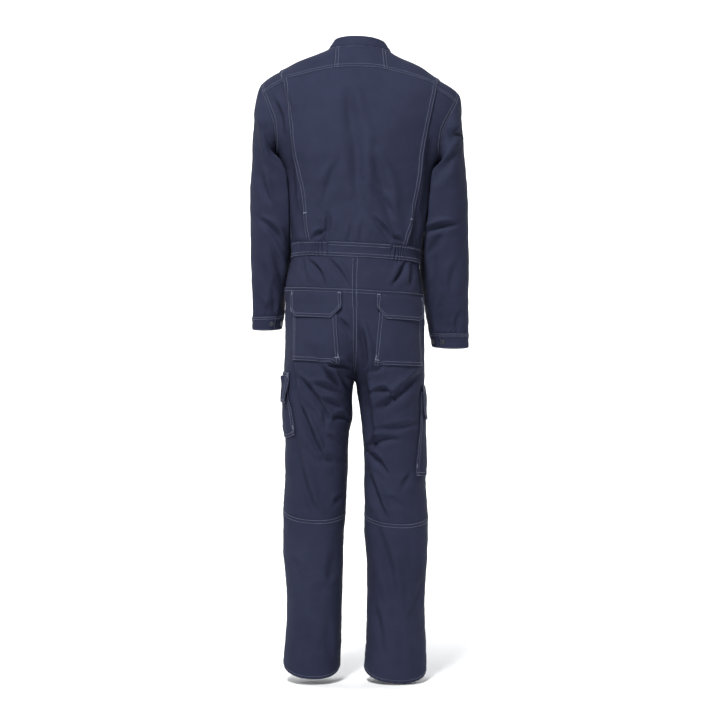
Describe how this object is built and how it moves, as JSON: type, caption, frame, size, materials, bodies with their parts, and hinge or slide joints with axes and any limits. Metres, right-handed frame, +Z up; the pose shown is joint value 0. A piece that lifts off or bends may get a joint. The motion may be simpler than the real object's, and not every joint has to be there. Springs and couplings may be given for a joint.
{
  "type": "boiler suit",
  "caption": "Boiler suit in navy work twill, filled out as if worn: stand collar, action pleats, elasticated waist, hip yoke, flapped back, thigh and knee pockets.",
  "frame": {"origin": "middle of the neck opening, level with the neck points of the shoulders", "axes": "+Z up the suit towards the collar, -Y the way the wearer faces, +X the wearer's left"},
  "size_m": [0.5452, 0.2766, 1.597],
  "materials": {
    "twill": "matt polyester-cotton twill",
    "stud": "gunmetal press stud"
  },
  "bodies": {
    "root": {"back_flap_left": "twill", "back_flap_right": "twill", "back_leg_left": "twill", "back_leg_right": "twill", "back_panel": "twill", "back_pocket_left": "twill", "back_pocket_right": "twill", "back_shin_left": "twill", "back_shin_right": "twill", "back_side_left": "twill", "back_side_right": "twill", "collar": "twill", "cuff_left": "twill", "cuff_right": "twill", "cuff_spare_stud_left": "stud", "cuff_spare_stud_right": "stud", "cuff_stud_left": "stud", "cuff_stud_right": "stud", "front_left": "twill", "front_leg_left": "twill", "front_leg_right": "twill", "front_placket": "twill", "front_right": "twill", "hip_yoke_left": "twill", "hip_yoke_right": "twill", "knee_pocket_left": "twill", "knee_pocket_right": "twill", "rule_flap_right": "twill", "rule_pocket_right": "twill", "shoulder_left": "twill", "shoulder_right": "twill", "sleeve_left": "twill", "sleeve_right": "twill", "thigh_flap_left": "twill", "thigh_pocket_left": "twill", "waist_elastic_left": "twill", "waist_elastic_right": "twill", "waistband_back": "twill", "waistband_front_left": "twill", "waistband_front_right": "twill", "yoke_centre": "twill", "yoke_left": "twill", "yoke_right": "twill"}
  },
  "joints": []
}
